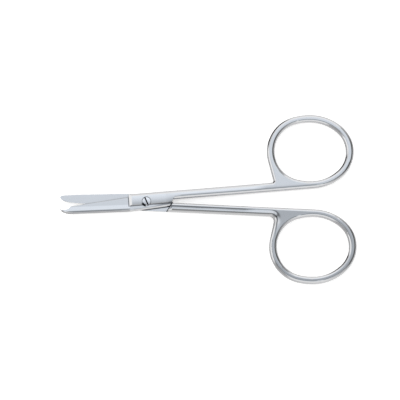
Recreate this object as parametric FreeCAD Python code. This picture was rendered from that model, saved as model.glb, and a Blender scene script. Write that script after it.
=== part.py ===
# Stitch scissors, 9 cm: a hooked blade half over a plain blade half, held by a slotted pivot screw.
#
# Millimetres, +Z up. The origin is on the pivot axis, at the flat that the scissors lie on.
# The tips point to -X, the finger rings to +X, and the hooked half's ring is on the +Y side.
#
# Both halves start from the same forging, drawn once in its own frame: its ring on the +Y side, the
# closed line of the scissors along X, and Z measured from the plane in which the halves ride.
# The plain half is that forging turned half a turn about X.

import FreeCAD, Part
import os
from math import acos, atan2, cos, radians, sin, sqrt

from FreeCAD import Vector

# Overall
joint_thickness = 2.90      # both halves together, at the screw
tip_reach = 26.60           # pivot to blade tip
rest_opening = 7.0          # angle between the halves as they lie, in degrees
ride_gap = 0.04             # between the two riding faces

# Finger ring
ring_x = 51.38              # centre of the opening, along the closed line
opening_length = 22.10
opening_width = 18.50
near_end_share = 0.97       # radius of the opening's blunt end, at the shank, as a share of its half width
far_end_share = 0.88        # the same for its far end
least_oval = 1.01           # longest over shortest width of the opening, at least
ring_tilt = -4.5            # long axis against the closed line, in degrees
bar_width = 2.28
ring_thickness = 2.40
ring_clearance = 0.14       # from the closed line to the ring

# Shank
shank_clearance = 0.06      # between the two shanks when the scissors are shut
outer_edge_at_boss = 2.68   # outer edge of the forging, from the closed line
outer_edge_at_ring = 2.92
web_inset = 0.85            # corner between shank and ring, back from the opening's end
forging_round = 0.88        # rounding of the long edges
hook_web_round = 0.6        # inside corner between shank and ring
plain_web_round = 1.5

# Lap joint
boss_end = 5.30             # pivot to the blade end of the boss
shoulder_x = 8.15           # pivot to the shoulder, on the closed line
shoulder_lean = 0.60        # how far the shoulder leans back for each mm of width
shoulder_gap = 0.06         # at the shoulder when the scissors are shut
plate_end_y = 1.95          # foot of the joint plate's leaning end, below the closed line
land_edge = 0.70            # from the closed line to the raised land's edge on the blade's back side
land_ramp = 0.30            # width of the land's slope along that edge
land_foot = 0.20            # how far the land's slopes run on below the ground face
boss_ramp = 0.85            # width of its slope at the blade

# Blades
blade_root_thickness = 1.02
blade_tip_thickness = 0.70
back_bend = 2.50            # length of each straight of the back that its bend at the boss takes up
back_round = 0.55
bevel_width = 0.36
edge_thickness = 0.08
hollow_width = 1.70
hollow_depth = 0.06
cut_at_root = 1.90          # cutting edge from the closed line, at the boss

# Hooked blade: lengths from its tip, heights from the closed line
hook_back_root = 2.70
hook_nose = [(4.0, 2.04), (1.1, 1.43)]
hook_tip_y = 0.12
notch_length = 3.50
notch_lip_y = 0.52          # where the cutting edge ends, above the closed line
notch_middle = 1.60
notch_bottom_y = 0.60

# Plain blade: the same
plain_back_root = 2.34
plain_nose = [(6.1, 1.36), (0.7, 0.84)]
plain_tip_y = 0.25
straight_end = 4.00         # where the straight cutting edge gives way to the nose
straight_end_y = 1.20
plain_front = (1.3, 0.70)

# Pivot screw
head_diameter = 2.76
head_thickness = 0.72
head_sink = 0.04            # head's top below the boss
head_bevel = 0.12
slot_width = 0.42
slot_depth = 0.36
slot_angle = 113.0
screw_diameter = 1.70
seat_clearance = 0.07       # round the head, radial
running_clearance = 0.03    # round the screw in the hooked half, radial
thread_clearance = 0.01     # round the screw in the plain half, radial
tail_sink = 0.03            # screw's end above the underside

half_thickness = joint_thickness / 2
half_gap = ride_gap / 2
ring_y = opening_width / 2 + bar_width + ring_clearance
web_x = ring_x - opening_length / 2 - web_inset
stem_x = web_x - opening_length / 4            # where the tapering shank ends and the level ring begins
rim_round = min(forging_round, 0.42 * bar_width, 0.42 * ring_thickness)
land_top = shank_clearance / 2 + rim_round     # where the shank's rounded inner edge reaches its flat
reach = tip_reach + 10
join_tolerance = 0.001      # where boss, shank and ring run into each other
origin = Vector(0, 0, 0)
up = Vector(0, 0, 1)


def polygon_prism(points, z_low, z_high):
    """An upright prism on a plan outline of straight sides."""
    corners = [Vector(x, y, z_low) for x, y in points]
    face = Part.Face(Part.makePolygon(corners + corners[:1]))
    return face.extrude(up * (z_high - z_low))


def arc_about(centre, start, end):
    """The shorter arc from start to end about a centre."""
    toward = (start - centre).normalize() + (end - centre).normalize()
    middle = centre + toward.normalize() * (start - centre).Length
    return Part.Arc(start, middle, end).toShape()


def tangent_arc(edge, end):
    """An arc that carries on smoothly from an edge's last point."""
    start = edge.valueAt(edge.LastParameter)
    across = up.cross(edge.tangentAt(edge.LastParameter))
    chord = end - start
    radius = chord.Length ** 2 / (2 * across.dot(chord))
    return arc_about(start + across * radius, start, end)


def flipped(point):
    """A point on the other side of the oval's long axis."""
    return Vector(point.x, -point.y, 0)


def ring_oval(grow):
    """The ring opening's outline, grown all round: for each end an end arc between two side arcs, all smooth."""
    half_short = min(opening_length, opening_width) / 2
    half_long = max(opening_length / 2, opening_width / 2, least_oval * half_short)
    arcs = []
    for way, share in ((1, far_end_share), (-1, near_end_share)):
        end_radius = share * half_short
        spread = half_long ** 2 + half_short ** 2 - 2 * half_long * end_radius
        side_radius = spread / (2 * (half_short - end_radius))
        end_centre = Vector(way * (half_long - end_radius), 0, 0)
        side_centre = Vector(0, way * (half_short - side_radius), 0)
        corner = end_centre + (end_centre - side_centre).normalize() * (end_radius + grow)
        widest = Vector(0, way * (half_short + grow), 0)
        arcs.append(arc_about(flipped(side_centre), flipped(widest), flipped(corner)))
        arcs.append(arc_about(end_centre, flipped(corner), corner))
        arcs.append(arc_about(side_centre, corner, widest))
    oval = Part.Wire(arcs)
    oval.rotate(origin, up, ring_tilt if opening_length >= opening_width else ring_tilt + 90)
    oval.translate(Vector(ring_x, ring_y, 0))
    return oval


def oval_prism(grow, thickness):
    """An upright prism on the ring's oval, half of it above the ride plane."""
    prism = Part.Face(ring_oval(grow)).extrude(up * thickness)
    prism.translate(up * (-thickness / 2))
    return prism


def touch_point(start, side):
    """Where the line from a point touches the ring's outer edge, on one side of it (1 or -1)."""
    for arc in ring_oval(bar_width).Edges:
        centre = arc.Curve.Center
        radius = arc.Curve.Radius
        away = Vector(start[0], start[1], 0) - centre
        if away.Length > radius:
            angle = atan2(away.y, away.x) + side * acos(radius / away.Length)
            touch = centre + Vector(cos(angle), sin(angle), 0) * radius
            if Part.Vertex(touch).distToShape(arc)[0] < join_tolerance:
                return touch.x, touch.y


def line_height(start, end, x):
    """Height at x of the line through two points."""
    return start[1] + (end[1] - start[1]) * (x - start[0]) / (end[0] - start[0])


def bar(x_low, x_high, inner, outer, thickness_low, thickness_high):
    """A length of the forging between its inner and outer edge lines, with its four long edges rounded."""
    plan = [(x_low, line_height(*inner, x_low)), (x_high, line_height(*inner, x_high)),
            (x_high, line_height(*outer, x_high)), (x_low, line_height(*outer, x_low))]
    blank = polygon_prism(plan, -joint_thickness, joint_thickness)
    profile = [Vector(x_low, 0, -thickness_low / 2), Vector(x_high, 0, -thickness_high / 2),
               Vector(x_high, 0, thickness_high / 2), Vector(x_low, 0, thickness_low / 2)]
    side = Part.Face(Part.makePolygon(profile + profile[:1]))
    side.translate(Vector(0, -bar_width, 0))
    blank = blank.common(side.extrude(Vector(0, 4 * outer_edge_at_ring, 0)))
    length = x_high - x_low
    return blank.makeFillet(rim_round, [e for e in blank.Edges if e.BoundBox.XLength > length / 2])


def handle(web_round):
    """Boss, shank and finger ring as forged, before the lap is cut."""
    crotch = (shoulder_x, shank_clearance / 2)
    inner = (crotch, touch_point(crotch, 1))
    web_corner = (web_x, outer_edge_at_ring)
    outer = ((-boss_end, outer_edge_at_boss), web_corner)
    boss = bar(-boss_end, shoulder_x, inner, outer, joint_thickness, joint_thickness)
    shank = bar(shoulder_x, stem_x, inner, outer, joint_thickness, ring_thickness)

    half_ring = ring_thickness / 2
    stem = polygon_prism([(stem_x, line_height(*inner, stem_x)), inner[1], (ring_x, ring_y),
                          touch_point(web_corner, -1), web_corner, (stem_x, line_height(*outer, stem_x))],
                         -half_ring, half_ring)
    corner = [e for e in stem.Edges
              if e.BoundBox.ZLength > half_ring and e.BoundBox.isInside(Vector(web_x, outer_edge_at_ring, 0))]
    ring = stem.makeFillet(web_round, corner)
    ring = ring.fuse(oval_prism(bar_width, ring_thickness)).removeSplitter()
    ring = ring.cut(oval_prism(0, 2 * ring_thickness))
    rims = [e for e in ring.Edges
            if e.BoundBox.ZLength < half_ring and e.BoundBox.XMax > stem_x + join_tolerance]
    ring = ring.makeFillet(rim_round, rims)
    return boss.fuse((shank, ring), join_tolerance).removeSplitter()


def plate(back, front):
    """The flat upper layer, joint plate and blade in one, between its back and its front edges."""
    foot = back[0].valueAt(back[0].FirstParameter)
    lean_top = Vector(shoulder_x + shoulder_lean * land_top, land_top, 0)
    boss_corner = Vector(-boss_end, land_top, 0)
    root = Vector(-boss_end, cut_at_root, 0)
    corners = [foot, lean_top, boss_corner, root]
    sides = [Part.makeLine(a, b) for a, b in zip(corners, corners[1:])]
    face = Part.Face(Part.Wire(Part.__sortEdges__(back + front + sides)))
    face.translate(up * half_gap)
    return face.extrude(up * (half_thickness - half_gap))


def back_edges(root_y, nose, tip_y):
    """The blade's back, from the foot of the joint plate's end to the tip, smooth all along."""
    foot = Vector(shoulder_x - shoulder_lean * plate_end_y, -plate_end_y, 0)
    corner = Vector(-boss_end, -root_y, 0)
    nose_start, nose_end = [Vector(back - tip_reach, -y, 0) for back, y in nose]
    bend_start = corner + (foot - corner).normalize() * back_bend
    bend_end = corner + (nose_start - corner).normalize() * back_bend
    edges = [Part.makeLine(foot, bend_start)]
    edges.append(tangent_arc(edges[-1], bend_end))
    edges.append(Part.makeLine(bend_end, nose_start))
    edges.append(tangent_arc(edges[-1], nose_end))
    edges.append(tangent_arc(edges[-1], Vector(-tip_reach, -tip_y, 0)))
    return edges


def hook_front():
    """The hooked blade's front, from the tip: the notch that lifts the stitch, then the straight edge."""
    tip = Vector(-tip_reach, -hook_tip_y, 0)
    notch_bottom = Vector(notch_middle - tip_reach, -notch_bottom_y, 0)
    lip = Vector(notch_length - tip_reach, notch_lip_y, 0)
    root = Vector(-boss_end, cut_at_root, 0)
    return [Part.Arc(tip, notch_bottom, lip).toShape(), Part.makeLine(lip, root)]


def plain_front_edges():
    """The plain blade's front: the straight edge, then two arcs round the blunt nose to the tip."""
    root = Vector(-boss_end, cut_at_root, 0)
    straight = Part.makeLine(root, Vector(straight_end - tip_reach, straight_end_y, 0))
    bend = tangent_arc(straight, Vector(plain_front[0] - tip_reach, plain_front[1], 0))
    return [straight, bend, tangent_arc(bend, Vector(-tip_reach, -plain_tip_y, 0))]


def grind_height(x):
    """The blade's outer face, above the ride plane."""
    slope = (blade_root_thickness - blade_tip_thickness) / (tip_reach - boss_end)
    return blade_root_thickness + slope * (x + boss_end)


def outer_grind():
    """What the grinding of the blade takes away round the boss's raised land."""
    far = shoulder_x + 2 * rim_round
    wide = 2 * outer_edge_at_ring
    top = 2 * half_thickness
    profile = [(-reach, grind_height(-reach)), (far, grind_height(far)), (far, top), (-reach, top)]
    corners = [Vector(x, -wide, z) for x, z in profile]
    ground = Part.Face(Part.makePolygon(corners + corners[:1])).extrude(Vector(0, 2 * wide, 0))
    levels = []
    for z in (blade_root_thickness - land_foot, top):
        rise = (z - blade_root_thickness) / (half_thickness - blade_root_thickness)
        left = -boss_end + boss_ramp * rise
        low = -land_edge - land_ramp + land_ramp * rise
        level = [Vector(left, low, z), Vector(2 * far, low, z), Vector(2 * far, 2 * wide, z),
                 Vector(left, 2 * wide, z)]
        levels.append(Part.makePolygon(level + level[:1]))
    return ground.cut(Part.makeLoft(levels, True, True))


def cutting_bevel(end_x, end_y):
    """What the narrow outer bevel takes away along a straight cutting edge."""
    root = Vector(-boss_end, cut_at_root, 0)
    along = (Vector(end_x, end_y, 0) - root).normalize()
    inward = Vector(-along.y, along.x, 0)
    if inward.y > 0:
        inward = inward * -1
    rise = (blade_root_thickness - edge_thickness) / bevel_width
    over = 2 * bevel_width
    section = [
        root + up * edge_thickness - inward * over - up * (rise * over),
        root + inward * over + up * (edge_thickness + rise * over),
        root - inward * over + up * (edge_thickness + rise * over),
    ]
    return Part.Face(Part.makePolygon(section + section[:1])).extrude(along * reach)


def blade_hollow(back_root_y, nose, cut_x, cut_y):
    """What the hollow grinding of the blade's riding face takes away."""
    radius = (hollow_width ** 2 / 4 + hollow_depth ** 2) / (2 * hollow_depth)
    height = half_gap + hollow_depth - radius
    root = Vector(-boss_end, (cut_at_root - back_root_y) / 2, height)
    along = (Vector(cut_x, (cut_y - nose[0][1]) / 2, height) - root).normalize()
    start = root + along
    return Part.makeCylinder(radius, tip_reach, start, along)


def lap_cut():
    """The half of the thickness that makes room for the other half's plate."""
    shoulder = shoulder_x + shoulder_gap
    wide = 2 * outer_edge_at_ring
    return polygon_prism([
        (-reach, -wide),
        (shoulder + shoulder_lean * wide, -wide),
        (shoulder - shoulder_lean * wide, wide),
        (-reach, wide),
    ], -joint_thickness, half_gap)


def back_rims(solid, back):
    """The blade's top edges that lie over its back, to be rounded."""
    outline = Part.Wire(back)
    rims = []
    for edge in solid.Edges:
        middle = edge.valueAt((edge.FirstParameter + edge.LastParameter) / 2)
        foot = Part.Vertex(middle.x, middle.y, 0)
        if middle.z > blade_tip_thickness / 2 and foot.distToShape(outline)[0] < join_tolerance:
            if edge.BoundBox.XLength > half_gap:
                rims.append(edge)
    return rims


def blade_half(back, front, web_round, back_root_y, nose, cut_x, cut_y):
    """One half in the forging's own frame, with its boss above the ride plane."""
    forged = handle(web_round).cut(lap_cut())
    solid = forged.fuse(plate(back, front)).removeSplitter()
    solid = solid.cut(outer_grind())
    solid = solid.makeFillet(back_round, back_rims(solid, back))
    solid = solid.cut(cutting_bevel(cut_x, cut_y))
    return solid.cut(blade_hollow(back_root_y, nose, cut_x, cut_y))


def hole(radius, z_low, z_high):
    """A drill down the pivot axis."""
    return Part.makeCylinder(radius, z_high - z_low, Vector(0, 0, z_low))


def hook_half():
    """The hooked half, on top, with the screw's seat and running hole."""
    solid = blade_half(back_edges(hook_back_root, hook_nose, hook_tip_y), hook_front(), hook_web_round,
                       hook_back_root, hook_nose, notch_length - tip_reach, notch_lip_y)
    seat_floor = half_thickness - head_sink - head_thickness
    solid = solid.cut(hole(head_diameter / 2 + seat_clearance, seat_floor, joint_thickness))
    solid = solid.cut(hole(screw_diameter / 2 + running_clearance, -joint_thickness, joint_thickness))
    solid.translate(up * half_thickness)
    solid.rotate(origin, up, rest_opening / 2)
    return solid


def plain_half():
    """The plain half, beneath, with the tapped hole."""
    solid = blade_half(back_edges(plain_back_root, plain_nose, plain_tip_y), plain_front_edges(), plain_web_round,
                       plain_back_root, plain_nose, straight_end - tip_reach, straight_end_y)
    solid = solid.cut(hole(screw_diameter / 2 + thread_clearance, -joint_thickness, joint_thickness))
    solid.rotate(origin, Vector(1, 0, 0), 180)
    solid.translate(up * half_thickness)
    solid.rotate(origin, up, -rest_opening / 2)
    return solid


def pivot_screw():
    """Slotted cheese-head screw, its tail filed flush with the underside."""
    top = joint_thickness - head_sink
    under = top - head_thickness + ride_gap
    profile = [
        (0, tail_sink),
        (screw_diameter / 2, tail_sink),
        (screw_diameter / 2, under),
        (head_diameter / 2, under),
        (head_diameter / 2, top - head_bevel),
        (head_diameter / 2 - head_bevel, top),
        (0, top),
    ]
    corners = [Vector(x, 0, z) for x, z in profile]
    screw = Part.Face(Part.makePolygon(corners + corners[:1])).revolve(origin, up, 360)
    slot = Part.makeBox(2 * head_diameter, slot_width, 2 * slot_depth,
                        Vector(-head_diameter, -slot_width / 2, top - slot_depth))
    slot.rotate(origin, up, slot_angle)
    return screw.cut(slot)


def save(shape, name):
    """Write one piece as its own STEP file."""
    solid = shape.Solids[0] if len(shape.Solids) == 1 else shape
    print(name, "solids", len(shape.Solids), "valid", shape.isValid(), "volume", round(shape.Volume, 3))
    solid.exportStep("parts/" + name + ".step")


os.makedirs("parts", exist_ok=True)
save(hook_half(), "hook_blade_half")
save(plain_half(), "plain_blade_half")
save(pivot_screw(), "pivot_screw")
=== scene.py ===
from math import cos, pi, radians, sin

import bpy
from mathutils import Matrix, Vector

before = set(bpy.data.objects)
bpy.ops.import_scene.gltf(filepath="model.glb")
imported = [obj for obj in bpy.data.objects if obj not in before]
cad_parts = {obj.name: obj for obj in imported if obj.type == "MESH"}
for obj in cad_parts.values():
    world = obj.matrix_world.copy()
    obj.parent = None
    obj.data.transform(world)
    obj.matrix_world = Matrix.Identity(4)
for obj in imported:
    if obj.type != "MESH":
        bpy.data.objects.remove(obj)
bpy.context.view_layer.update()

# Plain blade half
# The lower half of the scissors: one forging of martensitic stainless steel, hardened, polished by
# buffing and ground on the blade. It lies beneath the other half, turned 3.5 degrees from the middle line.

mm = 0.001
half_opening = radians(3.5)
seat_shadow_way = (-0.62, -0.79, 0)            # from the screw's axis to the side of its seat where a shadow is painted
seat_shadow_from, seat_shadow_to = 0.82, 0.93         # cosines of the angle from there at which the painted shadow begins and is full
past_rings = 1.0                        # metres, further than any point of the scissors


def linear(hex_colour):
    """An sRGB hex value as Blender's linear colour."""
    values = [int(hex_colour[i:i + 2], 16) / 255 for i in (1, 3, 5)]
    return [v / 12.92 if v <= 0.04045 else ((v + 0.055) / 1.055) ** 2.4 for v in values] + [1.0]


def node(tree, kind, inputs={}, **settings):
    """Adds one node with its own settings, and sets or links its inputs."""
    made = tree.nodes.new(kind)
    for name, value in settings.items():
        setattr(made, name, value)
    for name, value in inputs.items():
        if isinstance(value, bpy.types.NodeSocket):
            tree.links.new(value, made.inputs[name])
        else:
            made.inputs[name].default_value = value
    return made


def buffed_stainless(name, side, *, boss_crest, boss_slope, boss_softness, shank_from, shank_to, shank_crest,
                     inner_slope, outer_slope, shank_softness, corner_crest, corner_softness, ring_side,
                     side_lean, corner_round, web_from, web_to, ring_lean, back_at, back_slope, lapped,
                     edge_shade):
    """Buffed stainless steel: bright and smooth, with fine grinding lines on the blade, and painted shade in
    corners and lines.
    """
    material = bpy.data.materials.new(name)
    material.use_nodes = True
    tree = material.node_tree
    tree.nodes.clear()
    place = node(tree, "ShaderNodeTexCoord").outputs["Object"]
    # the half's own frame: x along its blade and shank, y from the closed line out to its ring
    along = node(tree, "ShaderNodeMapping", {
        "Vector": place, "Rotation": (0, 0, -half_opening), "Scale": (1, side, 1)})
    own = node(tree, "ShaderNodeSeparateXYZ", {"Vector": along.outputs["Vector"]})
    x = own.outputs["X"]
    y = own.outputs["Y"]
    z = own.outputs["Z"]
    boss_from, boss_to = -5.0 * mm, -4.4 * mm       # the blade ends and the joint begins
    ring_from, ring_to = 5.0 * mm, 10.0 * mm        # lines along the edge fade as they reach the ring

    # y again, but on the plain half it follows the outer edge round the corner into the ring's side
    outer_edge = 2.9 * mm
    past_side = node(tree, "ShaderNodeMath", {0: y, 1: side_lean, 2: x}, operation="MULTIPLY_ADD")
    in_side = node(tree, "ShaderNodeMath", {
        0: past_side.outputs["Value"], 1: ring_side - corner_round}, operation="SUBTRACT")
    in_edge = node(tree, "ShaderNodeMath", {0: outer_edge + corner_round, 1: y}, operation="SUBTRACT")
    side_part = node(tree, "ShaderNodeMath", {0: in_side.outputs["Value"], 1: 0.0}, operation="MAXIMUM")
    edge_part = node(tree, "ShaderNodeMath", {0: in_edge.outputs["Value"], 1: 0.0}, operation="MAXIMUM")
    both_parts = node(tree, "ShaderNodeCombineXYZ", {
        "X": side_part.outputs["Value"], "Y": edge_part.outputs["Value"]})
    from_corner = node(tree, "ShaderNodeVectorMath", {0: both_parts.outputs["Vector"]}, operation="LENGTH")
    turned = node(tree, "ShaderNodeMath", {
        0: outer_edge + corner_round, 1: from_corner.outputs["Value"]}, operation="SUBTRACT")

    # the buffing wheel crowns the flats over the raised boss, along the shank and round the corner. A crest
    # is where the crown is highest, its softness how widely it is rounded, and a slope how steeply it falls
    corner_from, corner_to = 34.0 * mm, 39.5 * mm
    crest = node(tree, "ShaderNodeMapRange", {
        "Value": x, "From Min": corner_from, "From Max": corner_to,
        "To Min": shank_crest, "To Max": corner_crest})
    crest_softness = node(tree, "ShaderNodeMapRange", {
        "Value": x, "From Min": corner_from, "From Max": corner_to,
        "To Min": shank_softness, "To Max": corner_softness})
    middle = node(tree, "ShaderNodeMapRange", {
        "Value": x, "From Min": shank_from, "From Max": shank_to,
        "To Min": boss_crest, "To Max": crest.outputs["Result"]})
    softness = node(tree, "ShaderNodeMapRange", {
        "Value": x, "From Min": shank_from, "From Max": shank_to,
        "To Min": boss_softness, "To Max": crest_softness.outputs["Result"]})
    away = node(tree, "ShaderNodeMath", {
        0: turned.outputs["Value"], 1: middle.outputs["Result"]}, operation="SUBTRACT")
    squared = node(tree, "ShaderNodeMath", {0: away.outputs["Value"], 1: 2.0}, operation="POWER")
    softened = node(tree, "ShaderNodeMath", {
        0: softness.outputs["Result"], 1: softness.outputs["Result"], 2: squared.outputs["Value"]},
        operation="MULTIPLY_ADD")
    distance = node(tree, "ShaderNodeMath", {0: softened.outputs["Value"]}, operation="SQRT")

    # on the boss the crown is kept to its raised part, which stands above the joint's plate
    plate_level, boss_level = 2.58 * mm, 2.62 * mm
    past_blade = node(tree, "ShaderNodeMapRange", {
        "Value": x, "From Min": boss_from, "From Max": boss_to, "To Max": boss_slope})
    on_boss = node(tree, "ShaderNodeMapRange", {
        "Value": z, "From Min": plate_level, "From Max": boss_level, "To Max": past_blade.outputs["Result"]})

    # the plain half's blade is shaded as flat: its riding face is lapped, so that the hollow hardly shows
    lap_from, lap_to = -5.2 * mm, -4.8 * mm
    facing = node(tree, "ShaderNodeNewGeometry").outputs["Normal"]
    on_blade = node(tree, "ShaderNodeMapRange", {
        "Value": x, "From Min": lap_from, "From Max": lap_to, "To Min": lapped, "To Max": 0.0})
    flat = node(tree, "ShaderNodeMix", {
        "Factor": on_blade.outputs["Result"], "A": facing, "B": (0, 0, 1)}, data_type="VECTOR")

    # each side of the crest has its own height, which rises by two for one and so is halved
    halved = 0.5
    inside = node(tree, "ShaderNodeMath", {
        0: away.outputs["Value"], 1: distance.outputs["Value"]}, operation="SUBTRACT")
    inside_share = node(tree, "ShaderNodeMapRange", {
        "Value": x, "From Min": shank_from, "From Max": shank_to,
        "To Min": on_boss.outputs["Result"], "To Max": inner_slope})
    inside_fall = node(tree, "ShaderNodeBump", {
        "Height": inside.outputs["Value"], "Strength": inside_share.outputs["Result"], "Distance": halved,
        "Normal": flat.outputs["Result"]})
    outside = node(tree, "ShaderNodeMath", {
        0: away.outputs["Value"], 1: distance.outputs["Value"]}, operation="ADD")
    to_web = node(tree, "ShaderNodeMapRange", {
        "Value": x, "From Min": web_from, "From Max": web_to, "To Min": outer_slope, "To Max": 0.0})
    to_ring = node(tree, "ShaderNodeMapRange", {
        "Value": y, "From Min": ring_from, "From Max": ring_to,
        "To Min": to_web.outputs["Result"], "To Max": 0.0})
    outside_share = node(tree, "ShaderNodeMapRange", {
        "Value": x, "From Min": shank_from, "From Max": shank_to,
        "To Min": on_boss.outputs["Result"], "To Max": to_ring.outputs["Result"]})
    outside_fall = node(tree, "ShaderNodeBump", {
        "Height": outside.outputs["Value"], "Strength": outside_share.outputs["Result"], "Distance": halved,
        "Normal": inside_fall.outputs["Normal"]}, invert=True)

    # the ring may lean a little outwards
    lean_from, lean_to = 30.0 * mm, 42.0 * mm
    lean = node(tree, "ShaderNodeMapRange", {
        "Value": x, "From Min": lean_from, "From Max": lean_to, "To Max": ring_lean})
    crown = node(tree, "ShaderNodeBump", {
        "Height": y, "Strength": lean.outputs["Result"], "Distance": 1.0,
        "Normal": outside_fall.outputs["Normal"]}, invert=True)

    # the blade falls away along its back, and dips slightly before that
    back_width = 5.0 * mm
    back_profile = ((0.18, 0.10), (0.42, 0.02), (1.0, 0.02))        # share of that width, height in mm
    blade_from, blade_to = -5.4 * mm, -5.0 * mm
    back = node(tree, "ShaderNodeMath", {0: x, 1: back_slope, 2: back_at}, operation="MULTIPLY_ADD")
    inwards = node(tree, "ShaderNodeMath", {0: y, 1: back.outputs["Value"]}, operation="ADD")
    across = node(tree, "ShaderNodeMapRange", {"Value": inwards.outputs["Value"], "From Max": back_width})
    profile = node(tree, "ShaderNodeValToRGB", {"Fac": across.outputs["Result"]})
    profile.color_ramp.elements.remove(profile.color_ramp.elements[1])
    for share, height in back_profile:
        profile.color_ramp.elements.new(share).color = (height, height, height, 1)
    profile.color_ramp.elements[0].color = (0, 0, 0, 1)
    blade = node(tree, "ShaderNodeMapRange", {
        "Value": x, "From Min": blade_from, "From Max": blade_to, "To Min": 1.0 - lapped, "To Max": 0.0})
    ground = node(tree, "ShaderNodeBump", {
        "Height": profile.outputs["Color"], "Strength": blade.outputs["Result"], "Distance": 1.0 * mm,
        "Normal": crown.outputs["Normal"]})

    # over 6 mm or so the flats are also very slightly wavy
    wave_length = 6 * mm
    wave_height = 0.05 * mm
    waves = node(tree, "ShaderNodeTexNoise", {"Vector": place, "Scale": 1 / wave_length, "Detail": 1.0})
    wavy = node(tree, "ShaderNodeBump", {
        "Height": waves.outputs["Fac"], "Strength": 0.35, "Distance": wave_height,
        "Normal": ground.outputs["Normal"]})

    # grinding lines run along the blade; real ones are under 0.05 mm apart, drawn here at 0.25 mm to show
    line_gap = 0.25 * mm
    line_depth = 0.002 * mm
    line_stretch = 0.02
    stretched = node(tree, "ShaderNodeMapping", {
        "Vector": along.outputs["Vector"], "Scale": (line_stretch, 1, 1)})
    lines = node(tree, "ShaderNodeTexNoise", {
        "Vector": stretched.outputs["Vector"], "Scale": 1 / line_gap, "Detail": 2.0})
    line_share = node(tree, "ShaderNodeMapRange", {
        "Value": x, "From Min": boss_from, "From Max": boss_to, "To Min": 1.0, "To Max": 0.15})
    lined = node(tree, "ShaderNodeBump", {
        "Height": lines.outputs["Fac"], "Strength": line_share.outputs["Result"], "Distance": line_depth,
        "Normal": wavy.outputs["Normal"]})
    rough = node(tree, "ShaderNodeMapRange", {
        "Value": lines.outputs["Fac"], "From Min": 0.3, "From Max": 0.7, "To Min": 0.07, "To Max": 0.11})

    # inside corners are painted dark where shade falls, by how much sky stays open near them, less so on the
    # blade and by the screw
    corner_reach = 0.5 * mm
    corner_begins, corner_full = 0.90, 0.50         # shares of the sky that stay open
    seat_from, seat_to = 1.7 * mm, 1.9 * mm
    open_sky = node(tree, "ShaderNodeAmbientOcclusion", {"Distance": corner_reach}, samples=8)
    in_corner = node(tree, "ShaderNodeMapRange", {
        "Value": open_sky.outputs["AO"], "From Min": corner_begins, "From Max": corner_full})
    level_place = node(tree, "ShaderNodeVectorMath", {0: place, 1: (1, 1, 0)}, operation="MULTIPLY")
    from_axis = node(tree, "ShaderNodeVectorMath", {0: level_place.outputs["Vector"]}, operation="LENGTH")
    past_screw = node(tree, "ShaderNodeMapRange", {
        "Value": from_axis.outputs["Value"], "From Min": seat_from, "From Max": seat_to, "To Min": 0.2})
    past_joint = node(tree, "ShaderNodeMapRange", {
        "Value": x, "From Min": boss_from, "From Max": boss_to, "To Min": 0.5})
    shade_share = node(tree, "ShaderNodeMath", {
        0: past_screw.outputs["Result"], 1: past_joint.outputs["Result"]}, operation="MULTIPLY")
    dark = node(tree, "ShaderNodeMath", {
        0: in_corner.outputs["Result"], 1: shade_share.outputs["Value"]}, operation="MULTIPLY")

    # narrow lines are painted dark too, as shade and dark reflections: at the foot of the raised boss, at its
    # end and along its side, at the foot of the leaning shoulder on the joint's inner side, along the blade's
    # back and the shank's outer edge, and as a shadow on one side of the screw's seat
    ride_level = 1.45 * mm
    riding = node(tree, "ShaderNodeMath", {0: z, 1: ride_level, 2: 0.6 * mm}, operation="COMPARE")
    off_riding = node(tree, "ShaderNodeMath", {0: 1.0, 1: riding.outputs["Value"]}, operation="SUBTRACT")
    over_side = node(tree, "ShaderNodeMath", {0: y, 1: -1.2 * mm}, operation="GREATER_THAN")
    at_end = node(tree, "ShaderNodeMath", {
        0: over_side.outputs["Value"], 1: off_riding.outputs["Value"]}, operation="MULTIPLY")
    along_boss = node(tree, "ShaderNodeMath", {0: x, 1: 1.3 * mm, 2: 6.5 * mm}, operation="COMPARE")
    at_side = node(tree, "ShaderNodeMath", {
        0: along_boss.outputs["Value"], 1: off_riding.outputs["Value"]}, operation="MULTIPLY")
    leaning = node(tree, "ShaderNodeMath", {0: y, 1: 0.6, 2: x}, operation="MULTIPLY_ADD")
    on_inside = node(tree, "ShaderNodeMath", {0: z, 1: ride_level, 2: 0.5 * mm}, operation="COMPARE")
    on_shank = node(tree, "ShaderNodeMath", {0: x, 1: 7.9 * mm}, operation="GREATER_THAN")
    before_ring = node(tree, "ShaderNodeMapRange", {
        "Value": y, "From Min": ring_from, "From Max": ring_to,
        "To Min": on_shank.outputs["Value"], "To Max": 0.0})
    seat_way = node(tree, "ShaderNodeVectorMath", {0: level_place.outputs["Vector"]}, operation="NORMALIZE")
    seat_turn = node(tree, "ShaderNodeVectorMath", {
        0: seat_way.outputs["Vector"], 1: seat_shadow_way}, operation="DOT_PRODUCT")
    in_seat_shadow = node(tree, "ShaderNodeMapRange", {
        "Value": seat_turn.outputs["Value"], "From Min": seat_shadow_from, "From Max": seat_shadow_to})
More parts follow.
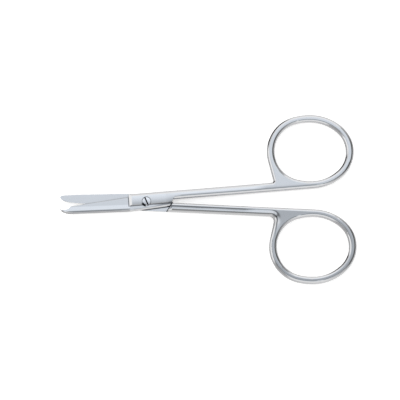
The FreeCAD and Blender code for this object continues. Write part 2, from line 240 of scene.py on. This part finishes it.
    # what the line is measured in, where it runs, half its width, where it is kept, and how dark it is
    # painted
    painted_shade_lines = (
        (x, -5.45 * mm, 0.16 * mm, at_end.outputs["Value"], 0.7),
        (y, -1.06 * mm, 0.15 * mm, at_side.outputs["Value"], 0.7),
        (leaning.outputs["Value"], 7.95 * mm, 0.22 * mm, on_inside.outputs["Value"], 1.0),
        (inwards.outputs["Value"], 0.34 * mm, 0.26 * mm, blade.outputs["Result"], 0.35),
        (turned.outputs["Value"], 2.17 * mm, 0.22 * mm, before_ring.outputs["Result"], edge_shade),
        (from_axis.outputs["Value"], 1.49 * mm, 0.17 * mm, in_seat_shadow.outputs["Result"], 1.0),
    )
    for measure, middle_at, half_width, kept, darkness in painted_shade_lines:
        line = node(tree, "ShaderNodeMath", {0: measure, 1: middle_at, 2: half_width}, operation="COMPARE")
        kept_line = node(tree, "ShaderNodeMath", {0: line.outputs["Value"], 1: kept}, operation="MULTIPLY")
        shade_line = node(tree, "ShaderNodeMath", {
            0: kept_line.outputs["Value"], 1: darkness}, operation="MULTIPLY")
        dark = node(tree, "ShaderNodeMath", {
            0: dark.outputs["Value"], 1: shade_line.outputs["Value"]}, operation="MAXIMUM")

    # the steel's own colour, mixed towards near black wherever shade is painted
    colour = node(tree, "ShaderNodeMix", {
        "Factor": dark.outputs["Value"], "A": linear("#C9CBCE"), "B": linear("#2A2D30")}, data_type="RGBA")
    shader = node(tree, "ShaderNodeBsdfPrincipled", {
        "Base Color": colour.outputs["Result"], "Metallic": 1.0, "Roughness": rough.outputs["Result"],
        "Normal": lined.outputs["Normal"]})
    node(tree, "ShaderNodeOutputMaterial", {"Surface": shader.outputs["BSDF"]})
    return material


plain_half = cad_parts["plain_blade_half"]
plain_half.data.materials.clear()
plain_half.data.materials.append(buffed_stainless(
    "buffed_stainless_plain", -1,
    boss_crest=0.58 * mm, boss_slope=0.0, boss_softness=0.55 * mm, shank_from=7.2 * mm, shank_to=7.8 * mm,
    shank_crest=0.68 * mm, inner_slope=0.0, outer_slope=0.34, shank_softness=0.92 * mm,
    corner_crest=1.15 * mm, corner_softness=0.3 * mm, ring_side=39.95 * mm, side_lean=0.12,
    corner_round=1.5 * mm, web_from=past_rings, web_to=past_rings + 0.1, ring_lean=0.11,
    back_at=2.34 * mm, back_slope=0.05, lapped=1.0, edge_shade=0.7))

# Hooked blade half
# The upper half, forged and finished as the other. Its blade ends in the small notch that lifts the stitch.
# The outer side of its crown ends at the web, before the corner, so the ring's side is set out of reach.

hook_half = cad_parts["hook_blade_half"]
hook_half.data.materials.clear()
hook_half.data.materials.append(buffed_stainless(
    "buffed_stainless_hook", 1,
    boss_crest=0.45 * mm, boss_slope=0.26, boss_softness=2.6 * mm, shank_from=6.0 * mm, shank_to=11.0 * mm,
    shank_crest=1.28 * mm, inner_slope=0.16, outer_slope=0.16, shank_softness=0.22 * mm,
    corner_crest=1.28 * mm, corner_softness=0.22 * mm, ring_side=past_rings, side_lean=0.0,
    corner_round=0.0, web_from=33.0 * mm, web_to=37.0 * mm, ring_lean=0.0,
    back_at=2.90 * mm, back_slope=0.038, lapped=0.0, edge_shade=0.0))

# Pivot screw
# A turned stainless screw with one slot, set flush in the boss. Turning leaves fine rings on its head.


def turned_stainless(name):
    """Turned stainless steel: fine rings about the screw's axis, a little duller than the buffed halves, with
    painted shade in its slot.
    """
    material = bpy.data.materials.new(name)
    material.use_nodes = True
    tree = material.node_tree
    tree.nodes.clear()
    place = node(tree, "ShaderNodeTexCoord").outputs["Object"]
    # its head is very slightly domed, and falls by 0.05 mm at 1 mm from its middle
    dome_fall = 0.05 / mm
    reach = node(tree, "ShaderNodeVectorMath", {0: place}, operation="LENGTH")
    dome = node(tree, "ShaderNodeMath", {0: reach.outputs["Value"], 1: 2.0}, operation="POWER")
    domed = node(tree, "ShaderNodeBump", {
        "Height": dome.outputs["Value"], "Strength": 1.0, "Distance": dome_fall}, invert=True)
    # real tool marks are about 0.1 mm apart, and are drawn 0.75 mm apart to show; a wave of scale 1 repeats
    # every 2 pi / 20 metres
    mark_gap = 0.754 * mm
    mark_depth = 0.004 * mm
    marks = node(tree, "ShaderNodeTexWave", {
        "Vector": place, "Scale": 2 * pi / (mark_gap * 20), "Distortion": 0.4},
        wave_type="RINGS", rings_direction="Z")
    ridged = node(tree, "ShaderNodeBump", {
        "Height": marks.outputs["Fac"], "Strength": 0.3, "Distance": mark_depth,
        "Normal": domed.outputs["Normal"]})
    # its slot is painted dark where shade falls into it, and its rim far less so
    slot_reach = 0.6 * mm
    slot_begins, slot_full = 0.97, 0.80             # shares of the sky that stay open
    head_from, head_to = 1.25 * mm, 1.35 * mm
    open_sky = node(tree, "ShaderNodeAmbientOcclusion", {"Distance": slot_reach}, samples=8)
    in_slot = node(tree, "ShaderNodeMapRange", {
        "Value": open_sky.outputs["AO"], "From Min": slot_begins, "From Max": slot_full})
    level_place = node(tree, "ShaderNodeVectorMath", {0: place, 1: (1, 1, 0)}, operation="MULTIPLY")
    from_axis = node(tree, "ShaderNodeVectorMath", {0: level_place.outputs["Vector"]}, operation="LENGTH")
    in_head = node(tree, "ShaderNodeMapRange", {
        "Value": from_axis.outputs["Value"], "From Min": head_from, "From Max": head_to,
        "To Min": 1.0, "To Max": 0.2})
    slot_dark = node(tree, "ShaderNodeMath", {
        0: in_slot.outputs["Result"], 1: in_head.outputs["Result"]}, operation="MULTIPLY")
    # one side of the rim is painted dark, as the seat's shadow
    way = node(tree, "ShaderNodeVectorMath", {0: level_place.outputs["Vector"]}, operation="NORMALIZE")
    turn = node(tree, "ShaderNodeVectorMath", {
        0: way.outputs["Vector"], 1: seat_shadow_way}, operation="DOT_PRODUCT")
    in_seat_shadow = node(tree, "ShaderNodeMapRange", {
        "Value": turn.outputs["Value"], "From Min": seat_shadow_from, "From Max": seat_shadow_to})
    rim = node(tree, "ShaderNodeMath", {
        0: from_axis.outputs["Value"], 1: 1.20 * mm, 2: 0.20 * mm}, operation="COMPARE")
    rim_shadow = node(tree, "ShaderNodeMath", {
        0: in_seat_shadow.outputs["Result"], 1: rim.outputs["Value"]}, operation="MULTIPLY")
    dark = node(tree, "ShaderNodeMath", {
        0: slot_dark.outputs["Value"], 1: rim_shadow.outputs["Value"]}, operation="MAXIMUM")
    # the steel's own colour, mixed towards near black where shade and shadow are painted
    colour = node(tree, "ShaderNodeMix", {
        "Factor": dark.outputs["Value"], "A": linear("#D2D4D8"), "B": linear("#0C0D0E")}, data_type="RGBA")
    shader = node(tree, "ShaderNodeBsdfPrincipled", {
        "Base Color": colour.outputs["Result"], "Metallic": 1.0, "Roughness": 0.15,
        "Normal": ridged.outputs["Normal"]})
    node(tree, "ShaderNodeOutputMaterial", {"Surface": shader.outputs["BSDF"]})
    return material


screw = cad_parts["pivot_screw"]
screw.data.materials.clear()
screw.data.materials.append(turned_stainless("turned_stainless"))

# Floor
# A plain white board, diffuse, with some light of its own towards the eye, so that it shows white and still
# takes the scissors' soft shadow. Reflections pass through it, so that the steel shows the tent all round.

floor_size = 3.0
floor_light = 0.58
bpy.ops.mesh.primitive_plane_add(size=floor_size, location=(0, 0, 0))
floor = bpy.context.object
floor.name = "floor"
white_board = bpy.data.materials.new("white_board")
white_board.use_nodes = True
tree = white_board.node_tree
tree.nodes.clear()
ray = node(tree, "ShaderNodeLightPath")
glow = node(tree, "ShaderNodeMath", {0: ray.outputs["Is Camera Ray"], 1: floor_light}, operation="MULTIPLY")
paint = node(tree, "ShaderNodeBsdfDiffuse", {"Color": linear("#F4F4F4")})
lit = node(tree, "ShaderNodeEmission", {"Color": linear("#FFFFFF"), "Strength": glow.outputs["Value"]})
both = node(tree, "ShaderNodeAddShader", {0: paint.outputs["BSDF"], 1: lit.outputs["Emission"]})
clear = node(tree, "ShaderNodeBsdfTransparent")
board = node(tree, "ShaderNodeMixShader", {
    0: ray.outputs["Is Glossy Ray"], 1: both.outputs["Shader"], 2: clear.outputs["BSDF"]})
node(tree, "ShaderNodeOutputMaterial", {"Surface": board.outputs["Shader"]})
floor.data.materials.append(white_board)

# Studio light
# A white tent lit from outside. Its roof falls off from the bright north to the dark round the camera, which
# leans south. Its walls are bright to the north, south and west and dark to the east. Their foot is dimmer
# than they are on the bright sides, and brighter on the dark one.

world = bpy.data.worlds.new("tent")
bpy.context.scene.world = world
world.use_nodes = True
tree = world.node_tree
tree.nodes.clear()
towards = node(tree, "ShaderNodeTexCoord").outputs["Generated"]
part = node(tree, "ShaderNodeSeparateXYZ", {"Vector": towards})

# the walls and their foot, by compass from west over south, east and north
compass = node(tree, "ShaderNodeTexGradient", {"Vector": towards}, gradient_type="RADIAL")
walls = node(tree, "ShaderNodeValToRGB", {"Fac": compass.outputs["Fac"]})
wall_stops = [(0.000, 0.70), (0.060, 0.70), (0.080, 0.25), (0.160, 0.25), (0.180, 0.60), (0.300, 0.60),
              (0.360, 0.35), (0.430, 0.12), (0.470, 0.06), (0.560, 0.06), (0.640, 0.25), (0.670, 0.65),
              (0.830, 0.65), (0.860, 0.45), (0.930, 0.45), (0.945, 0.70)]
foot = node(tree, "ShaderNodeValToRGB", {"Fac": compass.outputs["Fac"]})
foot_stops = [(0.000, 0.34), (0.060, 0.34), (0.180, 0.40), (0.400, 0.58), (0.520, 0.36), (0.570, 0.14),
              (0.620, 0.40), (0.780, 0.50), (0.820, 0.01), (0.915, 0.01), (0.935, 0.34)]

# the roof, from south to north: the south light, the dark round the camera, and up to the bright north
north = node(tree, "ShaderNodeMapRange", {"Value": part.outputs["Y"], "From Min": -0.5, "From Max": 0.5})
roof = node(tree, "ShaderNodeValToRGB", {"Fac": north.outputs["Result"]})
roof_stops = [(0.00, 0.60), (0.20, 0.60), (0.24, 0.14), (0.33, 0.08), (0.50, 0.36), (0.67, 0.56),
              (0.84, 0.70), (1.00, 0.78)]
for ramp, stops in (
        (walls.color_ramp, wall_stops), (foot.color_ramp, foot_stops), (roof.color_ramp, roof_stops)):
    ramp.elements.remove(ramp.elements[1])
    for stop, grey in stops[1:]:
        ramp.elements.new(stop).color = (grey, grey, grey, 1)
    ramp.elements[0].color = (stops[0][1], stops[0][1], stops[0][1], 1)

# the roof ends 18 degrees from straight up, and the walls begin at 35; they end 19 degrees above the ground,
# and their foot begins at 7
roof_end, walls_begin = 0.95, 0.82
walls_end, foot_begins = 0.32, 0.12
down = node(tree, "ShaderNodeMapRange", {
    "Value": part.outputs["Z"], "From Min": roof_end, "From Max": walls_begin},
    interpolation_type="SMOOTHSTEP")
low = node(tree, "ShaderNodeMapRange", {
    "Value": part.outputs["Z"], "From Min": walls_end, "From Max": foot_begins})
sides = node(tree, "ShaderNodeMix", {
    "Factor": low.outputs["Result"], "A": walls.outputs["Color"], "B": foot.outputs["Color"]},
    data_type="RGBA")
tent = node(tree, "ShaderNodeMix", {
    "Factor": down.outputs["Result"], "A": roof.outputs["Color"], "B": sides.outputs["Result"]},
    data_type="RGBA")

# the tent is open at its north-west corner, up to 15 or 20 degrees, where hardly any light comes from
tent_strength = 2.0
gap_strength = 0.1
gap_side, gap_beside = 1.30, 1.20       # of y less x, which is 1.41 straight to the north-west
gap_top, gap_above = 0.25, 0.35         # of z
north_west = node(tree, "ShaderNodeMath", {0: part.outputs["Y"], 1: part.outputs["X"]}, operation="SUBTRACT")
beside_gap = node(tree, "ShaderNodeMapRange", {
    "Value": north_west.outputs["Value"], "From Min": gap_side, "From Max": gap_beside})
above_gap = node(tree, "ShaderNodeMapRange", {
    "Value": part.outputs["Z"], "From Min": gap_top, "From Max": gap_above})
past_gap = node(tree, "ShaderNodeMath", {
    0: beside_gap.outputs["Result"], 1: above_gap.outputs["Result"]}, operation="MAXIMUM")
strength = node(tree, "ShaderNodeMapRange", {
    "Value": past_gap.outputs["Value"], "To Min": gap_strength, "To Max": tent_strength})

# the roof's light is a little cool, and that of the walls a little warm
tint = node(tree, "ShaderNodeMix", {
    "Factor": down.outputs["Result"], "A": linear("#F4F9FF"), "B": linear("#FFFDFB")}, data_type="RGBA")
tinted = node(tree, "ShaderNodeMix", {
    "Factor": 1.0, "A": tent.outputs["Result"], "B": tint.outputs["Result"]}, data_type="RGBA",
    blend_type="MULTIPLY")
light = node(tree, "ShaderNodeBackground", {
    "Color": tinted.outputs["Result"], "Strength": strength.outputs["Result"]})
backdrop = node(tree, "ShaderNodeBackground", {"Color": linear("#FFFFFF"), "Strength": 1.0})
ray = node(tree, "ShaderNodeLightPath")
mixed = node(tree, "ShaderNodeMixShader", {
    0: ray.outputs["Is Camera Ray"], 1: light.outputs["Background"], 2: backdrop.outputs["Background"]})
node(tree, "ShaderNodeOutputWorld", {"Surface": mixed.outputs["Shader"]})

# Camera
# It looks down on the scissors from 0.6 m with a long lens, and leans 10 degrees towards the plain half's
# ring. Its view is as wide as the photograph.

view_width = 122.64 * mm
eye_distance = 0.6
azimuth = radians(-1)
elevation = radians(80)
target = Vector((16.38 * mm, 0.33 * mm, 1.45 * mm))
towards_eye = Vector((sin(azimuth) * cos(elevation), -cos(azimuth) * cos(elevation), sin(elevation)))
lens = bpy.data.cameras.new("camera")
lens.sensor_width = 36
lens.lens = lens.sensor_width * eye_distance / view_width
lens.clip_start = 0.01
camera = bpy.data.objects.new("camera", lens)
camera.location = target + towards_eye * eye_distance
camera.rotation_mode = "QUATERNION"
camera.rotation_quaternion = towards_eye.to_track_quat("Z", "Y")
bpy.context.scene.collection.objects.link(camera)
bpy.context.scene.camera = camera
bpy.context.scene.view_settings.view_transform = "Standard"
